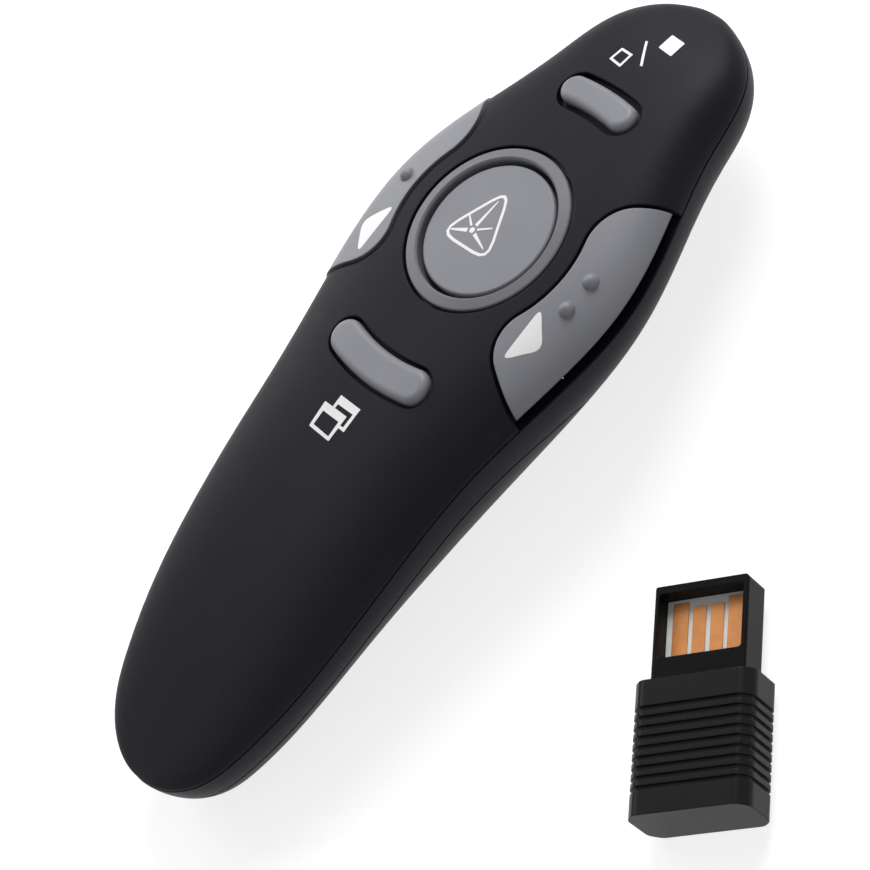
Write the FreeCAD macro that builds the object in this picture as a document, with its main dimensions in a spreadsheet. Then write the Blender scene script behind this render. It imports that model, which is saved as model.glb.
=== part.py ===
import FreeCAD, Part
import Sketcher
import math
import os

# Wireless presentation clicker with its USB receiver.
# Millimetres. +X is the right-hand side, +Y the laser nose and +Z up.
# The origin lies on the rest face, on the centre plane near the middle of the length.

V = FreeCAD.Vector

# Driving dimensions, all lengths in millimetres
SIZES = {
    # Body outline and section
    "body_length": 116.0,
    "body_width": 43.6,
    "seam_end_height": 11.8,
    "seam_nose_lift": 2.1,
    "seam_arch": 4.9,
    "crown_rise": 5.8,
    "belly_depth": 17.2,
    # Moulded walls
    "shell_wall": 1.5,
    "seam_gap": 0.25,
    "lip_height": 1.0,
    "lip_clearance": 0.05,
    "overrun": 8.0,
    # Battery cover
    "cover_front": 13.0,
    "cover_drop": 4.1,
    "cover_front_drop": 2.3,
    "cover_corner": 5.0,
    "cover_tongue_width": 12.0,
    "cover_tongue_reach": 2.4,
    "cover_tongue_overlap": 2.0,
    "cover_tongue_wall": 1.0,
    "cover_tongue_gap": 0.2,
    "grip_place": -19.0,
    "grip_pitch": 2.2,
    "grip_width": 1.1,
    "grip_depth": 0.45,
    "grip_length": 15.0,
    # Keys and their carriers
    "carrier_gap": 0.2,
    "carrier_wall": 0.8,
    "carrier_reach": 1.1,
    "stem_radius": 1.6,
    # Side keys, drawn round the ring's centre
    "waist_radius": 13.95,
    "rear_lobe_radius": 5.88,
    "front_lobe_radius": 6.94,
    "side_key_gap": 0.6,
    "side_key_sill": 1.6,
    "carrier_drop": 0.2,
    "side_key_proud": 0.2,
    "side_switch_offset": 14.8,
    "bump_radius": 1.0,
    "bump_rise": 0.9,
    "bump_offset": 17.5,
    "bump_rear_place": 18.45,
    "bump_front_place": 22.75,
    "lone_bump_offset": 16.9,
    "lone_bump_place": 20.8,
    # Screen key, a pill that bends round the ring across the nose
    "screen_key_place": 41.45,
    "screen_key_bend": 36.0,
    "screen_key_length": 12.9,
    "screen_key_width": 3.85,
    "screen_hole_length": 13.9,
    "screen_hole_width": 5.5,
    "pad_key_proud": 0.75,
    "pad_key_edge": 0.9,
    # Window key, a bent pill behind the ring
    "window_key_place": -0.45,
    "window_key_bend": 32.5,
    "window_key_length": 18.4,
    "window_key_width": 4.6,
    "window_key_gap": 0.5,
    # Ring trim, highest at its inner crest, and the laser key sunk inside it
    "ring_place": 20.9,
    "ring_crest_height": 22.35,
    "ring_radius": 11.3,
    "ring_band": 1.62,
    "ring_slope": 0.23,
    "ring_hole_gap": 0.4,
    "ring_flange": 1.0,
    "ring_flange_depth": 2.2,
    "ring_flange_wall": 0.7,
    "ring_edge": 0.15,
    "ring_crest_edge": 0.25,
    "laser_key_gap": 0.6,
    "laser_key_recess": 0.36,
    "laser_key_wall": 1.5,
    "laser_key_edge": 0.2,
    "laser_key_crown": 0.15,
    "laser_flange": 1.1,
    # Circuit board and what it carries
    "board_height": 14.9,
    "board_wall": 1.0,
    "board_rear": -6.0,
    "board_front": 44.4,
    "board_rear_width": 29.0,
    "board_waist_width": 35.6,
    "board_front_width": 23.0,
    "board_waist_rear": 8.0,
    "board_waist_front": 27.0,
    "can_width": 4.5,
    "can_height": 1.1,
    "plunger_radius": 0.9,
    "plunger_clearance": 0.08,
    "plunger_rise": 0.5,
    "plunger_length": 1.15,
    "chip_width": 6.0,
    "chip_height": 0.9,
    "chip_offset": 6.0,
    "chip_place": 27.0,
    "crystal_length": 6.4,
    "crystal_width": 2.4,
    "crystal_height": 2.0,
    "crystal_offset": -5.0,
    "crystal_place": 29.0,
    # Laser module in the nose
    "laser_height": 11.3,
    "laser_radius": 2.6,
    "laser_bore_clearance": 0.05,
    "laser_rear": 43.8,
    "laser_front": 55.4,
    "laser_bore_radius": 1.2,
    "laser_rim": 0.6,
    "laser_tail_radius": 1.8,
    "laser_tail_length": 2.2,
    "aperture_radius": 1.5,
    "window_radius": 2.1,
    "window_wall": 0.8,
    "window_place": 56.4,
    # Power switch in the left flank
    "switch_place": 19.0,
    "switch_height": 13.1,
    "switch_body_length": 8.5,
    "switch_body_depth": 3.4,
    "switch_body_height": 3.4,
    "switch_body_inset": 13.0,
    "switch_travel": 2.4,
    "slider_length": 4.0,
    "slider_height": 2.3,
    "slider_gap": 0.3,
    "slider_reach": 21.95,
    "slider_plate_wall": 0.7,
    "slider_plate_length": 9.6,
    "slider_plate_height": 3.1,
    "slider_plate_inset": 17.0,
    "slider_rib_pitch": 0.9,
    "slider_rib_depth": 0.3,
    "slider_lever_width": 1.4,
    "slider_lever_clearance": 0.15,
    # Cells, their tray and contacts
    "cell_radius": 5.25,
    "cell_length": 43.6,
    "cell_nub_radius": 1.9,
    "cell_nub_length": 0.9,
    "cell_edge": 0.4,
    "cell_spacing": 11.1,
    "cell_height": 8.45,
    "cell_middle": -14.2,
    "cell_clearance": 0.25,
    "tray_wall": 0.9,
    "tray_skirt_height": 8.2,
    "contact_room": 1.7,
    "contact_wall": 0.3,
    "contact_width": 6.0,
    "contact_height": 8.0,
    "contact_bow": 0.95,
    # Screws and bosses
    "case_screw_offset": 8.6,
    "case_screw_place": 47.6,
    "tail_screw_place": -46.0,
    "case_boss_radius": 2.9,
    "case_pilot_radius": 0.75,
    "case_pilot_rise": 0.6,
    "case_screw_radius": 0.95,
    "case_head_radius": 1.9,
    "case_head_height": 1.3,
    "case_head_seat": 1.6,
    "case_screw_length": 5.2,
    "case_floor_height": 11.2,
    "tail_web_height": 8.4,
    "tail_web_wall": 1.0,
    "tail_screw_length": 3.4,
    "board_screw_offset": 8.8,
    "board_screw_place": 35.2,
    "board_boss_radius": 1.9,
    "board_head_radius": 1.6,
    "board_head_height": 0.8,
    "board_screw_length": 5.0,
    "recess_width": 0.45,
    "recess_depth": 0.45,
    # Receiver: standard USB-A plug with a ribbed housing
    "receiver_x": 64.5,
    "receiver_y": -18.1,
    "housing_length": 16.3,
    "housing_width": 15.3,
    "housing_thick": 7.6,
    "housing_corner": 1.3,
    "housing_edge": 1.4,
    "housing_wall": 1.4,
    "shoulder_band": 3.2,
    "rib_pitch": 1.2,
    "rib_groove": 0.55,
    "rib_groove_depth": 0.35,
    "plug_length": 12.1,
    "plug_width": 12.0,
    "plug_thick": 4.5,
    "plug_side_wall": 0.6,
    "plug_tip_wall": 0.95,
    "plug_floor": 0.6,
    "plug_root": 5.0,
    "plug_window_length": 8.0,
    "plug_corner": 0.4,
    "tongue_top": 2.3,
    "contact_strip_wall": 0.15,
    "outer_strip_offset": 3.55,
    "outer_strip_width": 2.0,
    "outer_strip_length": 7.5,
    "inner_strip_offset": 1.15,
    "inner_strip_width": 1.65,
    "inner_strip_length": 6.8,
    "tongue_board_wall": 0.8,
    "tongue_board_width": 11.0,
    "radio_chip_width": 4.0,
    "radio_chip_height": 0.8,
}

# Angles in degrees and counts
FORWARD_ANGLE = 90
REAR_LOBE_ANGLE = -25.7
FRONT_LOBE_ANGLE = 21.1
REAR_EDGE_ANGLE = 235.6
FRONT_EDGE_ANGLE = 131.1
RING_TILT_ANGLE = -2.4
RECEIVER_TURN_ANGLE = 41.0
RIB_COUNT = 9
GRIP_COUNT = 6
SLIDER_RIB_COUNT = 3
SECTION_STEPS = 12

# Section shape: exponents of the crown and of the belly
CROWN_EXPONENT = 4.5
SEAM_ARCH_SHARE = 1.32
COVER_DROP_START_SHARE = -0.2

# Stations along the body, as shares of the half length, half width, crown rise and belly depth.
# The round nose ends a little past the half length.
STATION_SHARES = [
    (-0.9985, 0.068, 0.033, 0.097),
    (-0.985, 0.211, 0.105, 0.297),
    (-0.94, 0.391, 0.214, 0.529),
    (-0.86, 0.535, 0.338, 0.667),
    (-0.74, 0.643, 0.478, 0.718),
    (-0.58, 0.727, 0.629, 0.742),
    (-0.40, 0.770, 0.767, 0.812),
    (-0.22, 0.796, 0.878, 0.934),
    (-0.04, 0.847, 0.944, 1.000),
    (0.12, 0.930, 0.964, 0.965),
    (0.26, 0.992, 0.965, 0.879),
    (0.40, 0.990, 0.960, 0.776),
    (0.54, 0.888, 0.940, 0.700),
    (0.68, 0.738, 0.903, 0.667),
    (0.80, 0.641, 0.819, 0.640),
    (0.90, 0.556, 0.650, 0.548),
    (0.955, 0.447, 0.472, 0.420),
    (0.981, 0.355, 0.375, 0.335),
    (1.002, 0.243, 0.262, 0.235),
    (1.016, 0.135, 0.150, 0.132),
    (1.0215, 0.060, 0.068, 0.060),
]
NOSE_END_SHARE = 1.03
CAVITY_TAIL_SHARE = -0.94
CAVITY_NOSE_SHARE = 0.90
CAVITY_RISE_SHARE = 0.06


# Document and sheet

def make_sheet(doc):
    """Writes the driving dimensions into the document's sheet, one named cell each."""
    sheet = doc.addObject("Spreadsheet::Sheet", "d")
    for row, (alias, value) in enumerate(SIZES.items(), start=1):
        sheet.set("A%d" % row, alias)
        sheet.set("B%d" % row, str(value))
        sheet.setAlias("B%d" % row, alias)
    doc.recompute()
    return sheet


doc = FreeCAD.newDocument("clicker")
sheet = make_sheet(doc)


def mm(alias):
    """Reads one driving dimension from the sheet."""
    return float(getattr(sheet, alias))


def value_of(expression):
    """Works out an expression in the sheet's names."""
    result = sheet.evalExpression(expression)
    return float(getattr(result, "Value", result))


def feature(label, shape):
    """Keeps a shape made by Part's functions as a sub-part of the document."""
    obj = doc.addObject("Part::Feature", label)
    obj.Label = label
    obj.Shape = shape
    return obj


def only_solid(shape):
    """The largest solid of a shape, without slivers that a cut left loose."""
    return max(shape.Solids, key=lambda solid: solid.Volume)


# Sketch and body helpers

def new_body(label):
    body = doc.addObject("PartDesign::Body", label)
    body.Label = label
    return body


def origin_plane(body, role):
    return next(item for item in body.Origin.OriginFeatures if item.Role == role)


def new_sketch(body, name, role):
    """A sketch on one of the body's own origin planes."""
    sketch = body.newObject("Sketcher::SketchObject", name)
    sketch.AttachmentSupport = [(origin_plane(body, role), "")]
    sketch.MapMode = "FlatFace"
    return sketch


def hold_point(sketch, line, along, expression):
    """Holds a line's start at a distance from the sketch's origin, along X or Y."""
    if expression == "0":
        axis = -2 if along == "X" else -1
        sketch.addConstraint(Sketcher.Constraint("PointOnObject", line, 1, axis))
        return
    value = value_of(expression)
    index = sketch.addConstraint(Sketcher.Constraint("Distance" + along, -1, 1, line, 1, value))
    sketch.setExpression("Constraints[%d]" % index, expression)


def draw_polygon(sketch, corners):
    """Draws a closed polygon whose corners are pairs of expressions in the sheet's names."""
    points = [V(value_of(x), value_of(y), 0) for x, y in corners]
    first = len(sketch.Geometry)
    count = len(points)
    for index in range(count):
        sketch.addGeometry(Part.LineSegment(points[index], points[(index + 1) % count]), False)
    for index in range(count):
        following = first + (index + 1) % count
        sketch.addConstraint(Sketcher.Constraint("Coincident", first + index, 2, following, 1))
    for index, (x, y) in enumerate(corners):
        hold_point(sketch, first + index, "X", x)
        hold_point(sketch, first + index, "Y", y)


def draw_circle(sketch, x, y, radius):
    """Draws a circle held by expressions for its centre and radius."""
    centre = V(value_of(x), value_of(y), 0)
    index = sketch.addGeometry(Part.Circle(centre, V(0, 0, 1), value_of(radius)), False)
    for along, expression in (("X", x), ("Y", y)):
        if expression == "0":
            axis = -2 if along == "X" else -1
            sketch.addConstraint(Sketcher.Constraint("PointOnObject", index, 3, axis))
        else:
            place = value_of(expression)
            held = sketch.addConstraint(Sketcher.Constraint("Distance" + along, -1, 1, index, 3, place))
            sketch.setExpression("Constraints[%d]" % held, expression)
    held = sketch.addConstraint(Sketcher.Constraint("Radius", index, value_of(radius)))
    sketch.setExpression("Constraints[%d]" % held, radius)


def rectangle(half_x, low_y, high_y):
    """Corners of a rectangle that is even about the sketch's Y axis."""
    return [("-(%s)" % half_x, low_y), (half_x, low_y), (half_x, high_y), ("-(%s)" % half_x, high_y)]


def turned_body(label, corners):
    """A body turned about its own Z axis from a profile of radius and height."""
    body = new_body(label)
    sketch = new_sketch(body, label + "_profile", "XZ_Plane")
    draw_polygon(sketch, corners)
    turning = body.newObject("PartDesign::Revolution", label + "_turning")
    turning.Profile = sketch
    turning.ReferenceAxis = (sketch, ["V_Axis"])
    turning.Angle = 360.0
    doc.recompute()
    return body


def padded_body(label, role, corners, length, middle=False, reverse=False):
    """A body padded from a polygon on one of its origin planes."""
    body = new_body(label)
    sketch = new_sketch(body, label + "_outline", role)
    draw_polygon(sketch, corners)
    pad = body.newObject("PartDesign::Pad", label + "_pad")
    pad.Profile = sketch
    pad.setExpression("Length", length)
    pad.Midplane = middle
    pad.Reversed = reverse
    doc.recompute()
    return body


def cut_pocket(body, sketch, length=None, middle=False, reverse=False):
    """Cuts a sketch out of a body, through all of it where no length is given."""
    before = body.Shape.Volume
    pocket = body.newObject("PartDesign::Pocket", sketch.Name + "_cut")
    pocket.Profile = sketch
    pocket.Midplane = middle
    pocket.Reversed = reverse
    if length is None:
        pocket.Type = 1
    else:
        pocket.setExpression("Length", length)
    doc.recompute()
    if body.Shape.Volume >= before:
        raise RuntimeError(sketch.Name + " cuts nothing")
    return pocket


def round_edges(body, radius, wanted):
    """Rounds the edges of the body's tip that the test picks."""
    tip = body.Tip
    names = ["Edge%d" % (index + 1) for index, edge in enumerate(tip.Shape.Edges) if wanted(edge)]
    fillet = body.newObject("PartDesign::Fillet", body.Label + "_round")
    fillet.Base = (tip, names)
    fillet.setExpression("Radius", radius)
    doc.recompute()
    return fillet


# Skin of the body

def station_height(share):
    """Height of the parting seam at a share of the half length, from -1 to 1."""
    arch = 1 - SEAM_ARCH_SHARE * share ** 2 + (SEAM_ARCH_SHARE - 1) * share ** 4
    return mm("seam_end_height") + mm("seam_nose_lift") * share + mm("seam_arch") * arch


def seam_height(y):
    return station_height(2 * y / mm("body_length"))


def cover_line_height(y):
    """Height of the line where the battery cover meets the lower shell."""
    start = COVER_DROP_START_SHARE * mm("body_length") / 2
    share = max(0.0, (y - start) / (mm("cover_front") - start))
    return seam_height(y) - mm("cover_drop") - mm("cover_front_drop") * share ** 2


def unit_crown():
    """Half of a superellipse over the seam, from the right edge to the left."""
    points = []
    for step in range(SECTION_STEPS + 1):
        angle = math.pi * step / SECTION_STEPS
        across = abs(math.cos(angle)) ** (2 / CROWN_EXPONENT)
        points.append((math.copysign(across, math.cos(angle)), math.sin(angle)))
    return points


def unit_belly():
    """Half of an ellipse under the seam, from the left edge to the right."""
    angles = [math.pi * step / SECTION_STEPS for step in range(SECTION_STEPS + 1)]
    return [(-math.cos(angle), -math.sin(angle)) for angle in angles]


def section_edge(unit, y, half, seam, rise):
    """One half of a section: a unit curve scaled to its half width and its rise."""
    points = [V(across * half, y, seam + up * rise) for across, up in unit]
    aspect = mm("body_width") / mm("belly_depth")
    places = [0.0]
    for (x0, z0), (x1, z1) in zip(unit, unit[1:]):
        places.append(places[-1] + math.hypot((x1 - x0) * aspect, z1 - z0))
    curve = Part.BSplineCurve()
    curve.interpolate(Points=points, Parameters=places)
    return curve.toShape()


def skin(inset=0.0, low_share=-1.0, high_share=NOSE_END_SHARE):
    """The body's skin as a solid, moved inward by inset, or outward where that is negative."""
    crown, belly = unit_crown(), unit_belly()
    smallest = CAVITY_RISE_SHARE * mm("crown_rise")
    wires = []
    for share, width_share, rise_share, depth_share in STATION_SHARES:
        if not low_share <= share <= high_share:
            continue
        y = share * mm("body_length") / 2
        half = width_share * mm("body_width") / 2 - inset
        rise = rise_share * mm("crown_rise") - inset
        depth = depth_share * mm("belly_depth") - inset
        if inset > 0 and min(half, depth) < 2 * inset:
            continue
        rise = max(rise, smallest) if inset > 0 else rise
        seam = station_height(share)
        top = section_edge(crown, y, half, seam, rise)
        bottom = section_edge(belly, y, half, seam, depth)
        wires.append(Part.Wire([top, bottom]))
    return Part.makeLoft(wires, True, False)


def side_face_prism(edges):
    """A closed outline in the YZ plane drawn out across the whole width."""
    reach = mm("body_width") / 2 + mm("overrun")
    face = Part.Face(Part.Wire(edges))
    face.translate(V(-reach, 0, 0))
    return face.extrude(V(2 * reach, 0, 0))


def line(*points):
    """Straight edges through the points in turn."""
    return [Part.makeLine(a, b) for a, b in zip(points, points[1:])]


def height_edge(height, low, high, rise):
    """A smooth edge in the YZ plane along a height function, lifted by rise."""
    steps = len(STATION_SHARES)
    points = []
    for step in range(steps + 1):
        y = low + (high - low) * step / steps
        points.append(V(0, y, height(y) + rise))
    curve = Part.BSplineCurve()
    curve.interpolate(points)
    return curve.toShape(), points[0], points[-1]


def seam_zone(rise, upward):
    """All space above or below the seam, moved up by rise."""
    reach = mm("body_length") / 2 + mm("overrun")
    edge, start, end = height_edge(seam_height, -reach, reach, rise)
    far = mm("belly_depth") + mm("body_width") if upward else -mm("overrun")
    return side_face_prism([edge] + line(end, V(0, end.y, far), V(0, start.y, far), start))


def cover_zone(grow):
    """All space that the battery cover takes, grown by a margin at its seam."""
    rear = -mm("body_length") / 2 - mm("overrun")
    front = mm("cover_front") + grow
    radius = mm("cover_corner") + grow
    step = mm("seam_gap")
    slope = math.atan2(cover_line_height(front) - cover_line_height(front - step), step)
    tangent = front - radius * (1 - abs(math.sin(slope)))
    edge, start, top = height_edge(cover_line_height, rear, tangent, grow)
    centre = top - V(0, -math.sin(slope), math.cos(slope)) * radius
    half_turn = (math.pi / 2 + slope) / 2
    middle = centre + V(0, math.cos(half_turn), math.sin(half_turn)) * radius
    side = centre + V(0, radius, 0)
    corner = Part.Arc(top, middle, side).toShape()
    low = -mm("overrun")
    return side_face_prism([edge, corner] + line(side, V(0, side.y, low), V(0, start.y, low), start))


def block(low, high):
    """A box between two corners."""
    size = high - low
    return Part.makeBox(size.x, size.y, size.z, low)


def above_table():
    reach = mm("body_length")
    return block(V(-reach, -reach, 0), V(reach, reach, reach))


# Key outlines, drawn in plan

def polar(centre, radius, angle):
    """A point at an angle in degrees round a centre."""
    turn = math.radians(angle)
    return centre + V(math.cos(turn), math.sin(turn), 0) * radius


def plan_arc(centre, radius, start, end):
    """An arc in plan between two angles in degrees."""
    points = [polar(centre, radius, angle) for angle in (start, (start + end) / 2, end)]
    return Part.Arc(*points)


def side_key_outline():
    """Right side key's opening: a waist round the ring, a lobe at each end, open to the flank."""
    ring = V(0, mm("ring_place"), 0)
    waist = mm("waist_radius")
    rear_radius, front_radius = mm("rear_lobe_radius"), mm("front_lobe_radius")
    rear = polar(ring, waist + rear_radius, REAR_LOBE_ANGLE)
    front = polar(ring, waist + front_radius, FRONT_LOBE_ANGLE)
    rear_arc = plan_arc(rear, rear_radius, REAR_EDGE_ANGLE, REAR_LOBE_ANGLE + 180)
    waist_arc = plan_arc(ring, waist, REAR_LOBE_ANGLE, FRONT_LOBE_ANGLE)
    front_arc = plan_arc(front, front_radius, FRONT_LOBE_ANGLE + 180, FRONT_EDGE_ANGLE)
    edge = mm("body_width") / 2 + mm("overrun")
    rear_start, front_end = rear_arc.StartPoint, front_arc.EndPoint
    rear_slope = math.tan(math.radians(REAR_EDGE_ANGLE + 90))
    front_slope = math.tan(math.radians(FRONT_EDGE_ANGLE - 90))
    rear_out = V(edge, rear_start.y + rear_slope * (edge - rear_start.x), 0)
    front_out = V(edge, front_end.y + front_slope * (edge - front_end.x), 0)
    edges = line(rear_out, rear_start)
    edges += [rear_arc.toShape(), waist_arc.toShape(), front_arc.toShape()]
    edges += line(front_end, front_out, rear_out)
    return Part.Face(Part.Wire(edges))


def pill_outline(place, length, width):
    """A straight pill whose long axis lies along X."""
    half, radius = length / 2 - width / 2, width / 2
    right, left = V(half, place, 0), V(-half, place, 0)
    edges = [plan_arc(right, radius, -90, 90).toShape()]
    edges += line(right + V(0, radius, 0), left + V(0, radius, 0))
    edges += [plan_arc(left, radius, 90, 270).toShape()]
    edges += line(left - V(0, radius, 0), right - V(0, radius, 0))
    return Part.Face(Part.Wire(edges))


def bent_pill_outline(place, bend, length, width, facing):
    """A pill bent round a centre; facing, in degrees, is the way from that centre to the pill."""
    centre = V(0, place - bend * math.sin(math.radians(facing)), 0)
    radius = width / 2
    half = math.degrees((length / 2 - radius) / bend)
    right, left = facing + half, facing - half
    edges = [plan_arc(centre, bend + radius, left, right).toShape()]
    edges += [plan_arc(polar(centre, bend, right), radius, right, right + 180).toShape()]
    edges += [plan_arc(centre, bend - radius, right, left).toShape()]
    edges += [plan_arc(polar(centre, bend, left), radius, left + 180, left + 360).toShape()]
    return Part.Face(Part.Wire(edges))


def screen_outline(length, width):
    """The screen key's outline, or its opening's: it bends round the ring."""
    place, bend = mm("screen_key_place"), mm("screen_key_bend")
    return bent_pill_outline(place, bend, mm(length), mm(width), FORWARD_ANGLE)


def window_outline():
    """The window key's outline, which bends the same way behind the ring."""
    return bent_pill_outline(mm("window_key_place"), mm("window_key_bend"),
                             mm("window_key_length"), mm("window_key_width"), -FORWARD_ANGLE)


def disc_outline(place, radius):
    return Part.Face(Part.Wire([Part.makeCircle(radius, V(0, place, 0))]))


def prism(outline, grow=0.0):
    """A plan outline, grown or shrunk evenly, drawn up through the whole body."""
    face = outline.makeOffset2D(grow) if grow else outline
    height = mm("belly_depth") + mm("body_width")
    return face.extrude(V(0, 0, height))


def mirrored(shape):
    return shape.mirror(V(0, 0, 0), V(1, 0, 0))


# Housing: two moulded shells that meet at a tongued seam, and the battery cover

def upright(x, y, low, high, radius):
    return Part.makeCylinder(radius, high - low, V(x, y, low))


def case_screw_places():
    """Places of the case screws in plan: two in the nose and one in the tail."""
    offset, front = mm("case_screw_offset"), mm("case_screw_place")
    return [(offset, front), (-offset, front), (0.0, mm("tail_screw_place"))]


def key_openings():
    """Everything that the keys and the ring need cut out of the top shell."""
    side = prism(side_key_outline())
    ring = disc_outline(mm("ring_place"), mm("ring_radius"))
    cuts = [side, mirrored(side)]
    cuts.append(prism(screen_outline("screen_hole_length", "screen_hole_width")))
    cuts.append(prism(window_outline(), mm("window_key_gap")))
    cuts.append(prism(ring, mm("ring_hole_gap")))
    return cuts


def make_top_shell(outer, cavity):
    gap = mm("seam_gap")
    shell = outer.cut(cavity).common(seam_zone(gap / 2, True))
    rebate = skin(mm("shell_wall") / 2 - mm("lip_clearance"))
    rebate = rebate.common(seam_zone(mm("lip_height") + mm("lip_clearance"), False))
    shell = shell.cut(rebate)
    bosses = []
    for x, y in case_screw_places():
        low = mm("case_floor_height") if y > 0 else mm("tail_web_height") + mm("tail_web_wall")
        low += mm("lip_clearance")
        bosses.append(upright(x, y, low, seam_height(y) + mm("crown_rise"), mm("case_boss_radius")))
    inside = skin(mm("shell_wall") / 2)
    shell = shell.fuse([boss.common(inside) for boss in bosses])
    cuts = key_openings() + [rebate.cut(skin(mm("shell_wall") + mm("cell_clearance")))]
    for x, y in case_screw_places():
        low = -mm("overrun")
        top = seam_height(y) + mm("case_pilot_rise")
        cuts.append(upright(x, y, low, top, mm("case_pilot_radius")))
    return only_solid(shell.cut(cuts))


def make_tray():
    """Battery tray: a roof over the cells with skirts at their sides and ends."""
    half = mm("cell_spacing") / 2 + mm("cell_radius") + mm("cell_clearance")
    end = mm("cell_length") / 2 + mm("contact_room")
    roof = mm("cell_height") + mm("cell_radius") + mm("cell_clearance")
    middle, wall, low = mm("cell_middle"), mm("tray_wall"), mm("tray_skirt_height")
    side, length = half + wall, end + wall
    outer = block(V(-side, middle - length, low), V(side, middle + length, roof + wall))
    inner = block(V(-half, middle - end, low - wall), V(half, middle + end, roof))
    tray = outer.cut(inner).common(skin(mm("shell_wall") + mm("cell_clearance")))
    reach = mm("body_width")
    plate = block(V(-reach, middle - end, roof), V(reach, middle + end + wall, roof + wall))
    plate = plate.common(skin(mm("shell_wall") / 2)).common(seam_zone(-mm("seam_gap"), False))
    return tray.fuse(plate)


def make_tail_web():
    """Floor of the tail above the cover, which carries the tail screw."""
    rear = mm("cell_middle") - mm("cell_length") / 2 - mm("contact_room")
    low = mm("tail_web_height")
    reach = mm("body_length") / 2
    web = block(V(-reach, -reach, low), V(reach, rear, low + mm("tail_web_wall")))
    web = web.common(skin(mm("shell_wall") / 2)).common(seam_zone(-mm("seam_gap"), False))
    cover_wall = cover_zone(mm("seam_gap") / 2).cut(skin(mm("shell_wall") + mm("cell_clearance")))
    return web.cut(cover_wall)


def make_lower_bosses():
    """Bosses that rise from the lower shell's floor to the board and to the top shell."""
    bosses = []
    for x, y in case_screw_places()[:2]:
        bosses.append(upright(x, y, 0, mm("case_floor_height"), mm("case_boss_radius")))
    for side in (-1, 1):
        x = side * mm("board_screw_offset")
        bosses.append(upright(x, mm("board_screw_place"), 0, mm("board_height"), mm("board_boss_radius")))
    inside = skin(mm("shell_wall") / 2)
    return [boss.common(inside) for boss in bosses]


def make_laser_bores():
    """Seats for the laser barrel and its window, and the opening in front of them."""
    place = V(0, mm("laser_rear"), mm("laser_height"))
    forward = V(0, 1, 0)
    reach = mm("body_length")
    barrel = mm("laser_radius") + mm("laser_bore_clearance")
    seat = mm("window_place") - mm("window_wall")
    cuts = [Part.makeCylinder(barrel, mm("laser_front") - place.y, place, forward)]
    cuts.append(Part.makeCylinder(mm("aperture_radius"), reach, place, forward))
    cuts.append(Part.makeCylinder(mm("window_radius"), reach, V(0, seat, place.z), forward))
    return cuts


def make_switch_slot():
    """Slot in the left flank that the power slider reaches through."""
    length = mm("slider_length") + mm("switch_travel") + 2 * mm("slider_gap")
    height = mm("slider_height") + 2 * mm("slider_gap")
    rear = mm("switch_place") - mm("slider_length") / 2 - mm("slider_gap")
    low = mm("switch_height") - height / 2
    reach = mm("body_width")
    return block(V(-reach, rear, low), V(-mm("switch_body_inset"), rear + length, low + height))


def make_lower_shell(outer, cavity):
    gap, wall = mm("seam_gap"), mm("shell_wall")
    shell = outer.cut(cavity).common(seam_zone(-gap / 2, False))
    shell = shell.cut(cover_zone(gap / 2))
    lip = skin(wall / 2 + mm("lip_clearance")).cut(cavity)
    lip = lip.common(seam_zone(mm("lip_height"), False)).common(seam_zone(-mm("lip_height"), True))
    side = prism(side_key_outline(), mm("side_key_gap"))
    lip = lip.cut([side, mirrored(side)])
    shell = shell.fuse([lip, make_tray(), make_tail_web()] + make_lower_bosses())
    cuts = make_laser_bores() + [make_switch_slot()]
    low = -mm("overrun")
    for x, y in case_screw_places():
        seat = mm("case_floor_height") - mm("case_head_seat") if y > 0 else mm("tail_web_height")
        cuts.append(upright(x, y, low, seam_height(y), mm("case_screw_radius")))
        cuts.append(upright(x, y, low, seat, mm("case_head_radius") + mm("lip_clearance")))
    for side in (-1, 1):
        x, y = side * mm("board_screw_offset"), mm("board_screw_place")
        bottom = mm("board_height") - mm("board_screw_length")
        cuts.append(upright(x, y, bottom, mm("board_height"), mm("case_pilot_radius")))
    return only_solid(shell.cut(cuts).common(above_table()))


def make_cover_tongue():
    """Tongue at the cover's front edge that lies inside the lower shell."""
    depth = mm("shell_wall") + mm("cover_tongue_gap")
    layer = skin(depth, CAVITY_TAIL_SHARE, CAVITY_NOSE_SHARE)
    layer = layer.cut(skin(depth + mm("cover_tongue_wall"), CAVITY_TAIL_SHARE, CAVITY_NOSE_SHARE))
    half, front = mm("cover_tongue_width") / 2, mm("cover_front")
    rear = front - mm("cover_tongue_overlap")
    tongue = layer.common(block(V(-half, rear, -mm("overrun")),
                                V(half, front + mm("cover_tongue_reach"), mm("cover_drop"))))
    bridge = skin(mm("shell_wall") / 2).common(block(V(-half, rear, -mm("overrun")),
                                                     V(half, front - mm("seam_gap"), mm("cover_drop"))))
    return tongue.fuse(bridge.cut(skin(depth + mm("cover_tongue_wall"))))


def make_grip_grooves():
    """Shallow grooves across the cover for a thumb to push against."""
    grooves = []
    half, width = mm("grip_length") / 2, mm("grip_width")
    floor_layer = skin(-mm("overrun")).cut(skin(mm("grip_depth")))
    for index in range(GRIP_COUNT):
        y = mm("grip_place") - index * mm("grip_pitch")
        slab = block(V(-half, y - width / 2, -mm("overrun")), V(half, y + width / 2, mm("cover_drop")))
        grooves.append(slab.common(floor_layer))
    return grooves


def make_cell_cradles():
    """Room for the round cells where they lie close to the cover."""
    length = mm("cell_length") + 2 * mm("contact_room")
    radius = mm("cell_radius") + mm("cell_clearance")
    cradles = []
    for side in (-1, 1):
        start = V(side * mm("cell_spacing") / 2, mm("cell_middle") - length / 2, mm("cell_height"))
        cradles.append(Part.makeCylinder(radius, length, start, V(0, 1, 0)))
    return cradles


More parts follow.
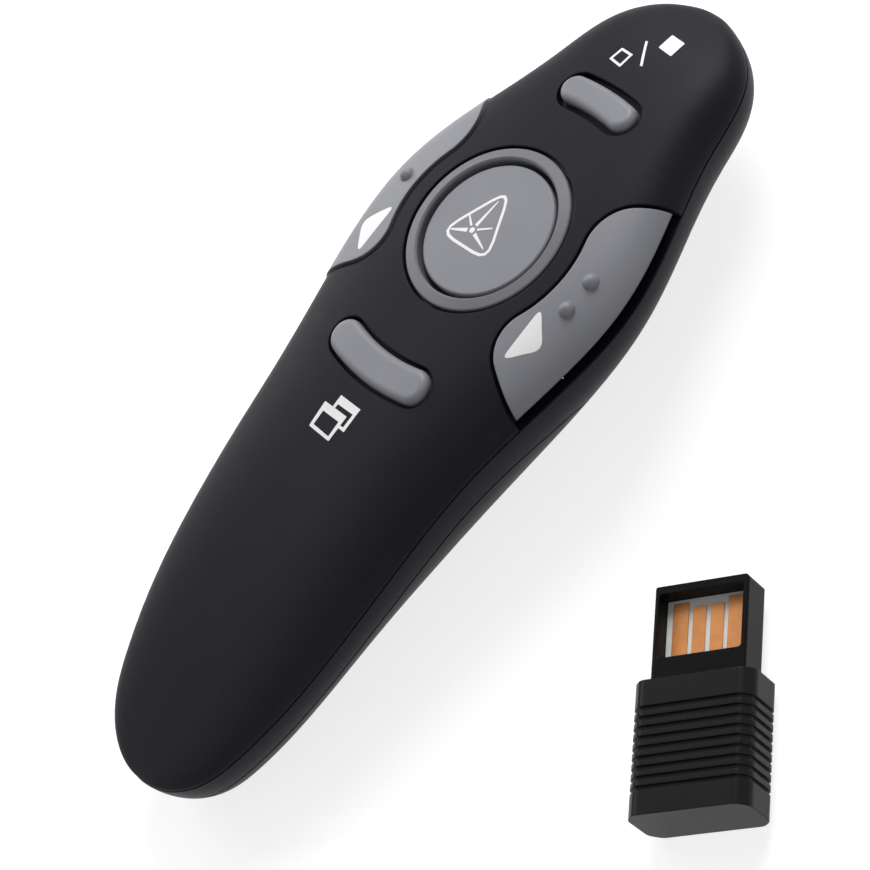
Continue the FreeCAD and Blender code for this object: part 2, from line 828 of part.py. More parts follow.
def make_battery_cover(outer, cavity):
    cover = outer.cut(cavity).common(cover_zone(-mm("seam_gap") / 2))
    cover = cover.fuse(make_cover_tongue())
    cover = cover.cut(make_grip_grooves() + make_cell_cradles())
    return only_solid(cover.common(above_table()))


# Keys: a grey cap flush with the skin on a black carrier that presses a switch

def plunger_top():
    return mm("board_height") + mm("board_wall") + mm("can_height") + mm("plunger_rise")


def cap_depth():
    return mm("shell_wall") + mm("carrier_gap")


def key_cap(outline, proud):
    """A cap cut from the skin's crown, standing proud of it."""
    cap = prism(outline).common(skin(-proud)).cut(skin(cap_depth()))
    return only_solid(cap.common(seam_zone(mm("side_key_sill"), True)))


def carrier(outline, switch_x, switch_y):
    """A curved sheet under the cap, wider than the opening, with a stem down to its switch."""
    sheet = prism(outline, mm("carrier_reach"))
    sheet = sheet.common(skin(cap_depth())).cut(skin(cap_depth() + mm("carrier_wall")))
    sheet = sheet.common(seam_zone(-mm("carrier_drop"), True))
    stem = upright(switch_x, switch_y, plunger_top(), mm("ring_crest_height"), mm("stem_radius"))
    stem = stem.common(skin(cap_depth() + mm("carrier_wall") / 2))
    return only_solid(only_solid(sheet).fuse(stem).removeSplitter())


def round_rim(cap, radius, height):
    """Rounds the upper rim of a cap: its edges that stand above a height."""
    return cap.makeFillet(radius, [edge for edge in cap.Edges if edge.BoundBox.ZMin > height])


def bump(x, y):
    """A small round bump on a side key for a thumb to find."""
    radius, rise = mm("bump_radius"), mm("bump_rise")
    ball = (radius ** 2 + rise ** 2) / (2 * rise)
    top = crown_height(x, y) + mm("side_key_proud") + rise
    return Part.makeSphere(ball, V(x, y, top - ball))


def crown_height(x, y):
    """Height of the outer skin above a point, found on a short needle through it."""
    needle = Part.makeLine(V(x, y, seam_height(y)), V(x, y, seam_height(y) + 2 * mm("crown_rise")))
    return needle.common(OUTER).BoundBox.ZMax


def make_side_key(bumps):
    """The right side key's cap with its bumps."""
    outline = side_key_outline().makeOffset2D(-mm("side_key_gap"))
    cap = key_cap(outline, mm("side_key_proud"))
    for offset, place in bumps:
        ball = bump(mm(offset), mm(place))
        cap = cap.fuse(ball.cut(skin(mm("shell_wall") / 2)))
    return only_solid(cap)


def make_keys():
    """The four keys that follow the skin, each with its carrier."""
    side = side_key_outline().makeOffset2D(-mm("side_key_gap"))
    side_carrier = carrier(side, mm("side_switch_offset"), mm("ring_place"))
    paired = [("bump_offset", "bump_rear_place"), ("bump_offset", "bump_front_place")]
    feature("next_key", make_side_key(paired))
    feature("next_key_carrier", side_carrier)
    feature("previous_key", mirrored(make_side_key([("lone_bump_offset", "lone_bump_place")])))
    feature("previous_key_carrier", mirrored(side_carrier))
    screen = screen_outline("screen_key_length", "screen_key_width")
    screen_plate = screen_outline("screen_hole_length", "screen_hole_width")
    window = window_outline()
    for label, outline, plate, place in (("screen_key", screen, screen_plate, "screen_key_place"),
                                         ("window_key", window, window, "window_key_place")):
        cap = key_cap(outline, mm("pad_key_proud"))
        cap = round_rim(cap, mm("pad_key_edge"), seam_height(mm(place)) + mm("crown_rise") / 2)
        feature(label, cap)
        feature(label + "_carrier", carrier(plate, 0.0, mm(place)))


def tilt_to_ring(body):
    """Seats a turned piece in the ring's hole, square to the skin there."""
    turn = FreeCAD.Rotation(V(1, 0, 0), RING_TILT_ANGLE)
    body.Placement = FreeCAD.Placement(V(0, mm("ring_place"), mm("ring_crest_height")), turn)


def make_ring_and_laser_key():
    inner = "d.ring_radius - d.ring_band"
    flange = "d.ring_radius + d.ring_flange"
    seat = "-d.ring_flange_depth"
    bottom = "-(d.ring_flange_depth + d.ring_flange_wall)"
    ring = turned_body("ring_trim", [
        (inner, bottom), (flange, bottom), (flange, seat), ("d.ring_radius", seat),
        ("d.ring_radius", "-(d.ring_slope + d.ring_edge)"), ("d.ring_radius - d.ring_edge", "-d.ring_slope"),
        (inner + " + d.ring_crest_edge", "0"), (inner, "-d.ring_crest_edge")])
    tilt_to_ring(ring)

    rim = "d.ring_radius - d.ring_band - d.laser_key_gap"
    top = "-d.laser_key_recess"
    under = "-(d.laser_key_recess + d.laser_key_wall)"
    cap = turned_body("laser_key", [
        ("0", under), (rim, under), (rim, top + " - d.laser_key_crown - d.laser_key_edge"),
        (rim + " - d.laser_key_edge", top + " - d.laser_key_crown"), ("0", top)])
    tilt_to_ring(cap)

    plate_top = bottom + " - d.carrier_gap"
    plate_bottom = plate_top + " - d.carrier_wall"
    reach = inner + " + d.laser_flange"
    hub = "d.ring_radius - d.ring_band - 2 * d.laser_key_gap"
    lean = mm("plunger_radius") * math.tan(math.radians(abs(RING_TILT_ANGLE)))
    stem_end = "%.6f" % (plunger_top() + lean - mm("ring_crest_height"))
    holder = turned_body("laser_key_carrier", [
        ("0", stem_end), ("d.stem_radius", stem_end),
        ("d.stem_radius", plate_bottom), (reach, plate_bottom), (reach, plate_top),
        (hub, plate_top), (hub, under), ("0", under)])
    tilt_to_ring(holder)


# Circuit board and what it carries

def switch_places():
    """Name and place of each key's switch."""
    ring, side = mm("ring_place"), mm("side_switch_offset")
    return [("laser_key", 0.0, ring), ("previous_key", -side, ring), ("next_key", side, ring),
            ("screen_key", 0.0, mm("screen_key_place")), ("window_key", 0.0, mm("window_key_place"))]


def make_board():
    waist = "d.board_waist_width / 2"
    right = [("d.board_rear_width / 2", "d.board_rear"), (waist, "d.board_waist_rear"),
             (waist, "d.board_waist_front"), ("d.board_front_width / 2", "d.board_front")]
    left = [("-(%s)" % x, y) for x, y in reversed(right)]
    board = padded_body("main_board", "XY_Plane", right + left, "d.board_wall")
    holes = new_sketch(board, "board_holes", "XY_Plane")
    draw_circle(holes, "d.board_screw_offset", "d.board_screw_place", "d.case_screw_radius")
    draw_circle(holes, "-d.board_screw_offset", "d.board_screw_place", "d.case_screw_radius")
    cut_pocket(board, holes, reverse=True)
    board.setExpression("Placement.Base.z", "d.board_height")


def make_switches():
    """Tact switches: metal cans on the board, and a plunger for each key."""
    cans = []
    base = mm("board_height") + mm("board_wall")
    half = mm("can_width") / 2
    hole = mm("plunger_radius") + mm("plunger_clearance")
    for name, x, y in switch_places():
        can = block(V(x - half, y - half, base), V(x + half, y + half, base + mm("can_height")))
        uprights = [edge for edge in can.Edges if edge.BoundBox.ZLength > mm("can_height") / 2]
        can = can.makeFillet(mm("plunger_rise"), uprights)
        cans.append(can.cut(upright(x, y, base, base + mm("can_height"), hole)))
        plunger = doc.addObject("Part::Cylinder", name + "_plunger")
        plunger.Label = name + "_plunger"
        plunger.setExpression("Radius", "d.plunger_radius")
        plunger.setExpression("Height", "d.plunger_length")
        foot = V(x, y, plunger_top() - mm("plunger_length"))
        plunger.Placement = FreeCAD.Placement(foot, FreeCAD.Rotation())
    feature("tact_switches", Part.makeCompound(cans))


def make_board_parts():
    """Radio chip and crystal under the board."""
    chip = doc.addObject("Part::Box", "radio_chip")
    chip.Label = "radio_chip"
    chip.setExpression("Length", "d.chip_width")
    chip.setExpression("Width", "d.chip_width")
    chip.setExpression("Height", "d.chip_height")
    chip.setExpression("Placement.Base.x", "d.chip_offset - d.chip_width / 2")
    chip.setExpression("Placement.Base.y", "d.chip_place - d.chip_width / 2")
    chip.setExpression("Placement.Base.z", "d.board_height - d.chip_height")
    outline = pill_outline(mm("crystal_place"), mm("crystal_length"), mm("crystal_width"))
    can = outline.extrude(V(0, 0, mm("crystal_height")))
    can.translate(V(mm("crystal_offset"), 0, mm("board_height") - mm("crystal_height")))
    feature("crystal_can", can)


def make_laser():
    """Brass laser barrel in the nose and the clear window in front of it."""
    length = "d.laser_front - d.laser_rear"
    barrel = turned_body("laser_module", [
        ("0", "0"), ("d.laser_tail_radius", "0"), ("d.laser_tail_radius", "d.laser_tail_length"),
        ("d.laser_radius", "d.laser_tail_length"), ("d.laser_radius", length),
        ("d.laser_bore_radius", length), ("d.laser_bore_radius", length + " - d.laser_rim"),
        ("0", length + " - 2 * d.laser_rim")])
    forward = FreeCAD.Rotation(V(1, 0, 0), -90)
    barrel.Placement = FreeCAD.Placement(V(0, mm("laser_rear"), mm("laser_height")), forward)
    window = doc.addObject("Part::Cylinder", "laser_window")
    window.Label = "laser_window"
    window.setExpression("Radius", "d.window_radius - d.laser_bore_clearance")
    window.setExpression("Height", "d.window_wall")
    seat = mm("window_place") - mm("window_wall")
    window.Placement = FreeCAD.Placement(V(0, seat, mm("laser_height")), forward)


def make_power_switch():
    """Slide switch under the board and the ribbed slider that reaches through the flank."""
    inset, depth = mm("switch_body_inset"), mm("switch_body_depth")
    top = mm("board_height")
    low = top - mm("switch_body_height")
    middle = mm("switch_place") + mm("switch_travel") / 2
    half = mm("switch_body_length") / 2
    case = block(V(-inset - depth, middle - half, low), V(-inset, middle + half, top))
    lever = mm("slider_lever_width") / 2
    clear = mm("slider_lever_clearance")
    low = mm("switch_place") - lever - clear
    high = mm("switch_place") + mm("switch_travel") + lever + clear
    mouth = block(V(-inset - depth, low, mm("switch_height") - lever - clear),
                  V(-inset - depth / 2, high, mm("switch_height") + lever + clear))
    feature("slide_switch", case.cut(mouth))

    place, height = mm("switch_place"), mm("switch_height")
    half_length, half_height = mm("slider_length") / 2, mm("slider_height") / 2
    face, plate_middle = -mm("slider_reach"), -mm("slider_plate_inset")
    low, high = height - half_height, height + half_height
    knob = block(V(face, place - half_length, low), V(plate_middle, place + half_length, high))
    face_edges = [edge for edge in knob.Edges if edge.BoundBox.XMax < face + mm("slider_gap")]
    knob = knob.makeChamfer(mm("slider_gap"), face_edges)
    half_plate = V(mm("slider_plate_wall"), mm("slider_plate_length"), mm("slider_plate_height")) / 2
    plate_centre = V(plate_middle, place, height)
    plate = block(plate_centre - half_plate, plate_centre + half_plate)
    arm = block(V(plate_middle, place - lever, height - lever),
                V(-inset - depth / 2 - clear, place + lever, height + lever))
    grooves = []
    for index in range(SLIDER_RIB_COUNT):
        y = place + (index - (SLIDER_RIB_COUNT - 1) / 2) * mm("slider_rib_pitch")
        quarter = mm("slider_rib_pitch") / 4
        floor = face + mm("slider_rib_depth")
        grooves.append(block(V(face, y - quarter, low), V(floor, y + quarter, high)))
    feature("power_slider", only_solid(knob.fuse([plate, arm]).cut(grooves).removeSplitter()))


# Cells and contacts

def make_cells():
    """Two small cells side by side, turned head to tail."""
    can_end = "d.cell_length / 2 - d.cell_nub_length"
    edge = "d.cell_radius - d.cell_edge"
    for label, side, turn in (("left_cell", -1, -90), ("right_cell", 1, 90)):
        cell = turned_body(label, [
            ("0", "-d.cell_length / 2"), (edge, "-d.cell_length / 2"),
            ("d.cell_radius", "-d.cell_length / 2 + d.cell_edge"),
            ("d.cell_radius", can_end + " - d.cell_edge"),
            (edge, can_end), ("d.cell_nub_radius", can_end), ("d.cell_nub_radius", "d.cell_length / 2"),
            ("0", "d.cell_length / 2")])
        place = V(side * mm("cell_spacing") / 2, mm("cell_middle"), mm("cell_height"))
        cell.Placement = FreeCAD.Placement(place, FreeCAD.Rotation(V(1, 0, 0), turn))


def leaf(x, wall_y, inward):
    """A bowed strip that springs from the tray's end wall towards a cell."""
    wall, bow = mm("contact_wall"), mm("contact_bow")
    half = mm("contact_height") / 2
    height = mm("cell_height")
    back = wall_y + inward * wall / 2
    front = wall_y + inward * (wall / 2 + bow)
    heights = [height - half, height - half / 2, height, height + half / 2, height + half]
    places = [back, (back + front) / 2, front, (back + front) / 2, back]
    spine = [V(0, y, z) for y, z in zip(places, heights)]
    curve = Part.BSplineCurve()
    curve.interpolate(spine)
    shifted = curve.copy()
    shifted.translate(V(0, -inward * wall / 2, 0))
    curve.translate(V(0, inward * wall / 2, 0))
    near, far = shifted.toShape(), curve.toShape()
    ends = line(spine[-1] - V(0, inward * wall / 2, 0), spine[-1] + V(0, inward * wall / 2, 0))
    starts = line(spine[0] + V(0, inward * wall / 2, 0), spine[0] - V(0, inward * wall / 2, 0))
    outline = Part.Wire(Part.__sortEdges__([near, far] + ends + starts))
    strip = Part.Face(outline)
    strip.translate(V(x - mm("contact_width") / 2, 0, 0))
    return strip.extrude(V(mm("contact_width"), 0, 0))


def make_contacts():
    """Separate leaves at the front and one bridge with two leaves at the rear."""
    reach = mm("cell_length") / 2 + mm("contact_room")
    front, rear = mm("cell_middle") + reach, mm("cell_middle") - reach
    side = mm("cell_spacing") / 2
    feature("front_contacts", Part.makeCompound([leaf(-side, front, -1), leaf(side, front, -1)]))
    half, wall = mm("contact_height") / 2, mm("contact_wall")
    low = mm("cell_height") + half - wall
    bridge = block(V(-side, rear, low - wall), V(side, rear + wall, low + wall))
    leaves = leaf(-side, rear, 1).fuse([leaf(side, rear, 1), bridge])
    feature("rear_contact", only_solid(leaves.removeSplitter()))


# Screws

def screw(x, y, seat, length, shank, head, head_height, heads_up):
    """A pan-head screw with a cross recess; seat is where its head bears."""
    up = 1 if heads_up else -1
    body = Part.makeCylinder(shank, length, V(x, y, seat), V(0, 0, -up))
    cap = Part.makeCylinder(head, head_height, V(x, y, seat), V(0, 0, up))
    face = seat + up * head_height
    half, wide = head * 2 / 3, mm("recess_width") / 2
    low, high = sorted((face, face - up * mm("recess_depth")))
    slots = [block(V(x - half, y - wide, low), V(x + half, y + wide, high)),
             block(V(x - wide, y - half, low), V(x + wide, y + half, high))]
    return body.fuse(cap).cut(slots).removeSplitter()


def make_screws():
    case = []
    for x, y in case_screw_places():
        front = y > 0
        seat = mm("case_floor_height") - mm("case_head_seat") if front else mm("tail_web_height")
        length = mm("case_screw_length") if front else mm("tail_screw_length")
        case.append(screw(x, y, seat, length, mm("case_pilot_radius"),
                          mm("case_head_radius"), mm("case_head_height"), False))
    feature("case_screws", Part.makeCompound(case))
    seat = mm("board_height") + mm("board_wall")
    board = [screw(side * mm("board_screw_offset"), mm("board_screw_place"), seat,
                   mm("board_screw_length") + mm("board_wall"), mm("case_pilot_radius"),
                   mm("board_head_radius"), mm("board_head_height"), True) for side in (-1, 1)]
    feature("board_screws", Part.makeCompound(board))


# Receiver: a ribbed housing with a moulded USB-A plug

def place_receiver(obj):
    """Lays a receiver piece on the table beside the body; its own +Y is the plug's direction."""
    turn = FreeCAD.Rotation(V(0, 0, 1), RECEIVER_TURN_ANGLE)
    obj.Placement = FreeCAD.Placement(V(mm("receiver_x"), mm("receiver_y"), 0), turn)


def bevelled_outline(inset):
    """A rectangle with bevelled corners round the housing's section, moved inward by inset."""
    side = "d.housing_width / 2 - %s" % inset
    bevel, corner = "d.housing_width / 2 - d.housing_corner", "d.housing_corner"
    low, high = inset, "d.housing_thick - %s" % inset
    right = [(bevel, low), (side, corner), (side, "d.housing_thick - " + corner), (bevel, high)]
    return right + [("-(%s)" % x, z) for x, z in reversed(right)]


def make_housing():
    outline = bevelled_outline("0")
    housing = padded_body("receiver_housing", "XZ_Plane", outline, "d.housing_length", reverse=True)
    round_edges(housing, "d.housing_edge", lambda edge: edge.BoundBox.YLength > mm("housing_length") / 2)
    groove = new_sketch(housing, "rib_groove", "XZ_Plane")
    draw_polygon(groove, outline)
    draw_polygon(groove, bevelled_outline("d.rib_groove_depth"))
    groove.setExpression("AttachmentOffset.Base.z", "-(d.housing_length - d.shoulder_band - d.rib_groove)")
    cut = cut_pocket(housing, groove, "d.rib_groove")
    pattern = housing.newObject("PartDesign::LinearPattern", "rib_grooves")
    pattern.Originals = [cut]
    pattern.Direction = (groove, ["N_Axis"])
    pattern.setExpression("Length", "%d * d.rib_pitch" % (RIB_COUNT - 1))
    pattern.Occurrences = RIB_COUNT
    housing.Tip = pattern
    doc.recompute()
    room = new_sketch(housing, "board_room", "XZ_Plane")
    low = "d.housing_thick / 2 - d.plug_thick / 2"
    high = "d.housing_thick / 2 + d.plug_thick / 2"
    draw_polygon(room, rectangle("d.plug_width / 2", low, high))
    room.setExpression("AttachmentOffset.Base.z", "-d.housing_length")
    cut_pocket(housing, room, "d.housing_length - d.housing_wall", reverse=True)
    place_receiver(housing)
    return housing


def make_plug():
    """Plug frame: a tray with a floor, side walls and a tip bar, closed behind its window."""
    mouth = mm("housing_length")
    root = mouth - mm("plug_root")
    tip = mouth + mm("plug_length")
    low = (mm("housing_thick") - mm("plug_thick")) / 2
    high = low + mm("plug_thick")
    half, side = mm("plug_width") / 2, mm("plug_side_wall")
    clear = mm("lip_clearance")
    frame = block(V(-half, mouth, low), V(half, tip, high))
    long_edges = [edge for edge in frame.Edges if edge.BoundBox.YLength > mm("plug_length") / 2]
    tip_edges = [edge for edge in frame.Edges
                 if edge.BoundBox.YMin > tip - clear and edge.BoundBox.ZLength > mm("plug_thick") / 2]
    frame = frame.makeFillet(mm("plug_corner"), long_edges + tip_edges)
    neck = block(V(-half + clear, root, low + clear), V(half - clear, mouth, high - clear))
    frame = frame.fuse(neck)
    window_front = tip - mm("plug_tip_wall")
    window_rear = window_front - mm("plug_window_length")
    floor = low + mm("plug_floor")
    well = block(V(-half + side, root, floor), V(half - side, window_front, low + mm("tongue_top")))
    window = block(V(-half + side, window_rear, floor), V(half - side, window_front, high + mm("overrun")))
    upright_edges = [edge for edge in window.Edges if edge.BoundBox.ZLength > mm("plug_thick") / 2]
    window = window.makeFillet(mm("plug_corner"), upright_edges)
    plug = feature("receiver_plug", only_solid(frame.cut([well, window]).removeSplitter()))
    place_receiver(plug)

    clear_side = side + clear
    tongue = block(V(-half + clear_side, root, floor), V(half - clear_side, window_front - clear,
                                                         low + mm("tongue_top") - clear))
    insulator = feature("receiver_tongue", tongue)
    place_receiver(insulator)

    strips = []
    base = low + mm("tongue_top") - clear
    for offset, width, length in (("outer_strip_offset", "outer_strip_width", "outer_strip_length"),
                                  ("inner_strip_offset", "inner_strip_width", "inner_strip_length")):
        for hand in (-1, 1):
            x, half_strip = hand * mm(offset), mm(width) / 2
            end = V(x + half_strip, window_rear + mm(length), base + mm("contact_strip_wall"))
            strips.append(block(V(x - half_strip, window_rear + clear, base), end))
    place_receiver(feature("receiver_contacts", Part.makeCompound(strips)))

    board_front = root - clear
    board_rear = mm("housing_wall") + clear
    middle = mm("housing_thick") / 2 - mm("tongue_board_wall") / 2
    half_board = mm("tongue_board_width") / 2
    top = middle + mm("tongue_board_wall")
    board = block(V(-half_board, board_rear, middle), V(half_board, board_front, top))
    half_chip = mm("radio_chip_width") / 2
    chip_place = (board_front + board_rear) / 2
    chip = block(V(-half_chip, chip_place - half_chip, top),
                 V(half_chip, chip_place + half_chip, top + mm("radio_chip_height")))
    place_receiver(feature("receiver_board", board.fuse(chip)))


# Build all sub-parts

OUTER = skin()
CAVITY = skin(mm("shell_wall"), CAVITY_TAIL_SHARE, CAVITY_NOSE_SHARE)
feature("top_shell", make_top_shell(OUTER, CAVITY))
feature("lower_shell", make_lower_shell(OUTER, CAVITY))
feature("battery_cover", make_battery_cover(OUTER, CAVITY))
make_keys()
make_ring_and_laser_key()
make_board()
make_switches()
make_board_parts()
make_laser()
make_power_switch()
make_cells()
make_contacts()
make_screws()
make_housing()
make_plug()
doc.recompute()

# Write each sub-part to its own file
os.makedirs("parts", exist_ok=True)
for obj in doc.Objects:
    if "Invalid" in obj.State or "Error" in obj.State:
        raise RuntimeError("%s failed to compute" % obj.Label)
PIECE_TYPES = ("Part::Feature", "PartDesign::Body", "Part::Box", "Part::Cylinder")
pieces = [obj for obj in doc.Objects if obj.TypeId in PIECE_TYPES]
for piece in pieces:
    if piece.Shape.isNull() or not piece.Shape.isValid():
        raise RuntimeError("%s has no valid shape" % piece.Label)
    piece.Shape.exportStep("parts/%s.step" % piece.Label)
    print("%-24s %d solid(s) %9.2f mm3" % (piece.Label, len(piece.Shape.Solids), piece.Shape.Volume))
print("%d sub-parts written" % len(pieces))
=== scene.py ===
"""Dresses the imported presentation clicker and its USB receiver, and lights them."""

import logging
import math
from dataclasses import dataclass, field
from enum import Enum

import bmesh
import bpy
from mathutils import Matrix, Vector
from mathutils.bvhtree import BVHTree


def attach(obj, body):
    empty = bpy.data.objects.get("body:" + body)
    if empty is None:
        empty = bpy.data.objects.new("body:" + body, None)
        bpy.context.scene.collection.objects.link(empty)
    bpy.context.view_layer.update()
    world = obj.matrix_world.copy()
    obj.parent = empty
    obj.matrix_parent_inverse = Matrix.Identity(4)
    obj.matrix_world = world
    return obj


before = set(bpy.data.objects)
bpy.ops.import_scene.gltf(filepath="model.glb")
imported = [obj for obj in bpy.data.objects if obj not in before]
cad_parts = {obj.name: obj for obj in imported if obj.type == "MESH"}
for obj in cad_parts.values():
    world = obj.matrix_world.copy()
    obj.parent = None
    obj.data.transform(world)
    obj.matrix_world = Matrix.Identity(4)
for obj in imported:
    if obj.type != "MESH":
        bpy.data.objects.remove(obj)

MM = 0.001
WHITE = (1.0, 1.0, 1.0, 1.0)
Colour = tuple[float, float, float]
Place = tuple[float, float, float]
Point = tuple[float, float]
Corners = tuple[Point, ...]
log = logging.getLogger("clicker")

# Octaves of the noises that colour, gloss and relief follow.
CLOUD_DETAIL = 4.0
SPECK_DETAIL = 3.0
RELIEF_DETAIL = 2.0
# Gloss wanders this many times finer than colour.
SPECKS_PER_CLOUD = 5
# The stretch of each noise over which colour and gloss go from one end to the other.
CLOUD_SPAN = (0.3, 0.7)
SPECK_SPAN = (0.25, 0.75)
# A clear coat is this many times smoother than what it covers.
COAT_SMOOTHING = 3
# Samples of the shaded rounding on edges.
EDGE_SAMPLES = 4
# Pieces in a printed corner's rounding, and how much sharper an inner corner is.
ROUNDING_STEPS = 4
INNER_SHARPNESS = 4


class Grain(Enum):
    """How a finish's fine relief is stretched along X, Y and Z."""

    PEBBLE = (1.0, 1.0, 1.0)
    BRUSH = (1.0, 0.06, 1.0)
    TURNED = (0.15, 0.15, 1.0)


@dataclass(frozen=True)
class Finish:
    """A procedural finish. Lengths are in millimetres, shares from 0 to 1."""

    name: str
    colour: Colour
    roughness: float
    metallic: float = 0.0
    specular: float = 0.5
    colour_share: float = 0.12
    roughness_share: float = 0.1
    cloud: float = 9.0
    grain: Grain = Grain.PEBBLE
    grain_size: float = 0.3
    relief: float = 0.01
    edge: float = 0.2
    coat: float = 0.0
    transmission: float = 0.0

    def material(self) -> bpy.types.Material:
        """Makes the finish's node material, or finds it where it's made already.

        Returns:
            The material.
        """
        made = bpy.data.materials.get(self.name)
        if made is not None:
            return made
        made = bpy.data.materials.new(self.name)
        made.use_nodes = True
        tree = made.node_tree
        shader = tree.nodes["Principled BSDF"]
        place = tree.nodes.new("ShaderNodeTexCoord").outputs["Object"]
        self._paint(tree, shader, place)
        self._shape(tree, shader, place)
        shader.inputs["Metallic"].default_value = self.metallic
        shader.inputs["Specular IOR Level"].default_value = self.specular
        shader.inputs["Coat Weight"].default_value = self.coat
        shader.inputs["Coat Roughness"].default_value = self.roughness / COAT_SMOOTHING
        shader.inputs["Transmission Weight"].default_value = self.transmission
        return made

    def _noise(self, tree: bpy.types.NodeTree, place: bpy.types.NodeSocket, size: float,
               detail: float) -> bpy.types.NodeSocket:
        """Adds a noise whose features are about as large as size.

        Args:
            tree: The material's nodes.
            place: The coordinates, in metres.
            size: Size of the features, in millimetres.
            detail: How many finer octaves the noise holds.

        Returns:
            The noise's factor.
        """
        noise = tree.nodes.new("ShaderNodeTexNoise")
        noise.inputs["Scale"].default_value = 1 / (size * MM)
        noise.inputs["Detail"].default_value = detail
        tree.links.new(place, noise.inputs["Vector"])
        return noise.outputs["Fac"]

    def _paint(self, tree: bpy.types.NodeTree, shader: bpy.types.Node,
               place: bpy.types.NodeSocket) -> None:
        """Lets the colour and the roughness wander a little over the surface.

        Args:
            tree: The material's nodes.
            shader: The material's shader.
            place: The coordinates, in metres.
        """
        cloud = self._noise(tree, place, self.cloud, CLOUD_DETAIL)
        ramp = tree.nodes.new("ShaderNodeValToRGB")
        dark, light = ramp.color_ramp.elements
        dark.position, light.position = CLOUD_SPAN
        dark.color = (*[part * (1 - self.colour_share) for part in self.colour], 1.0)
        light.color = (*[min(1.0, part * (1 + self.colour_share)) for part in self.colour],
                       1.0)
        tree.links.new(cloud, ramp.inputs["Fac"])
        tree.links.new(ramp.outputs["Color"], shader.inputs["Base Color"])
        spread = tree.nodes.new("ShaderNodeMapRange")
        spread.inputs["From Min"].default_value = SPECK_SPAN[0]
        spread.inputs["From Max"].default_value = SPECK_SPAN[1]
        spread.inputs["To Min"].default_value = self.roughness * (1 - self.roughness_share)
        spread.inputs["To Max"].default_value = self.roughness * (1 + self.roughness_share)
        speck = self._noise(tree, place, self.cloud / SPECKS_PER_CLOUD, SPECK_DETAIL)
        tree.links.new(speck, spread.inputs["Value"])
        tree.links.new(spread.outputs["Result"], shader.inputs["Roughness"])

    def _shape(self, tree: bpy.types.NodeTree, shader: bpy.types.Node,
               place: bpy.types.NodeSocket) -> None:
        """Adds the fine relief and the small rounding that catches light on edges.

        Args:
            tree: The material's nodes.
            shader: The material's shader.
            place: The coordinates, in metres.
        """
        stretch = tree.nodes.new("ShaderNodeMapping")
        stretch.inputs["Scale"].default_value = self.grain.value
        tree.links.new(place, stretch.inputs["Vector"])
        height = self._noise(tree, stretch.outputs["Vector"], self.grain_size, RELIEF_DETAIL)
        bump = tree.nodes.new("ShaderNodeBump")
        bump.inputs["Distance"].default_value = self.relief * MM
        tree.links.new(height, bump.inputs["Height"])
        if self.edge:
            bevel = tree.nodes.new("ShaderNodeBevel")
            bevel.samples = EDGE_SAMPLES
            bevel.inputs["Radius"].default_value = self.edge * MM
            tree.links.new(bevel.outputs["Normal"], bump.inputs["Normal"])
        tree.links.new(bump.outputs["Normal"], shader.inputs["Normal"])


SOFT_TOUCH = Finish("soft_touch_coat", (0.009, 0.0087, 0.0135), 0.46, specular=0.1,
                    colour_share=0.08, roughness_share=0.04, cloud=16.0, grain_size=0.14,
                    relief=0.005, edge=0.35)
KEY_RUBBER = Finish("key_rubber", (0.238, 0.242, 0.267), 0.42, specular=0.4,
                    colour_share=0.04, roughness_share=0.05, cloud=11.0, grain_size=0.12,
                    relief=0.005, edge=0.3)
RING_SATIN = Finish("ring_satin", (0.186, 0.189, 0.209), 0.4, specular=0.25,
                    colour_share=0.04, cloud=7.0, grain_size=0.12, relief=0.004, edge=0.2)
# Carriers and plungers: partly a black pad under the keys, partly painted shade, darker than
# the shells so the gaps around the keys stay black.
CARRIER_BLACK_AND_SHADE = Finish("carrier_black", (0.004, 0.004, 0.0045), 0.65, specular=0.12, edge=0.1)
SLIDER_BLACK = Finish("slider_black", (0.018, 0.018, 0.02), 0.45, specular=0.4, edge=0.15)
WHITE_PRINT = Finish("white_print", (0.96, 0.96, 0.96), 0.5, colour_share=0.02, cloud=2.0,
                     grain_size=0.08, relief=0.003, edge=0.0)
BOARD_MASK = Finish("board_mask", (0.015, 0.12, 0.05), 0.3, coat=0.4, cloud=4.0, relief=0.01)
PLATED_STEEL = Finish("plated_steel", (0.62, 0.62, 0.64), 0.3, metallic=1.0,
                      grain=Grain.BRUSH, grain_size=0.5, relief=0.004, cloud=5.0, edge=0.1)
SCREW_STEEL = Finish("screw_steel", (0.3, 0.3, 0.31), 0.35, metallic=1.0, grain_size=0.2,
                     relief=0.004, cloud=2.0, edge=0.08)
CHIP_EPOXY = Finish("chip_epoxy", (0.015, 0.015, 0.016), 0.65, grain_size=0.1, relief=0.01,
                    edge=0.1)
TURNED_BRASS = Finish("turned_brass", (0.72, 0.5, 0.2), 0.28, metallic=1.0,
                      grain=Grain.TURNED, grain_size=0.2, relief=0.004, cloud=3.0, edge=0.1)
LENS = Finish("laser_lens", (0.85, 0.35, 0.32), 0.05, transmission=0.9, relief=0.0005,
              edge=0.0)
CELL_SLEEVE = Finish("cell_sleeve", (0.2, 0.22, 0.25), 0.3, metallic=0.6, coat=0.5,
                     grain=Grain.BRUSH, grain_size=0.6, relief=0.003, cloud=12.0, edge=0.2)
NICKEL = Finish("contact_nickel", (0.7, 0.67, 0.6), 0.22, metallic=1.0, grain_size=0.3,
                relief=0.003, cloud=3.0, edge=0.08)
PLUG_GLOSS = Finish("plug_gloss", (0.003, 0.003, 0.0035), 0.3, specular=0.08,
                    colour_share=0.1, cloud=5.0, grain_size=0.2, relief=0.002, edge=0.2)
HOUSING_GLOSS = Finish("housing_gloss", (0.003, 0.003, 0.0035), 0.34, specular=0.15,
                       colour_share=0.1, cloud=5.0, grain_size=0.15, relief=0.003, edge=0.25)
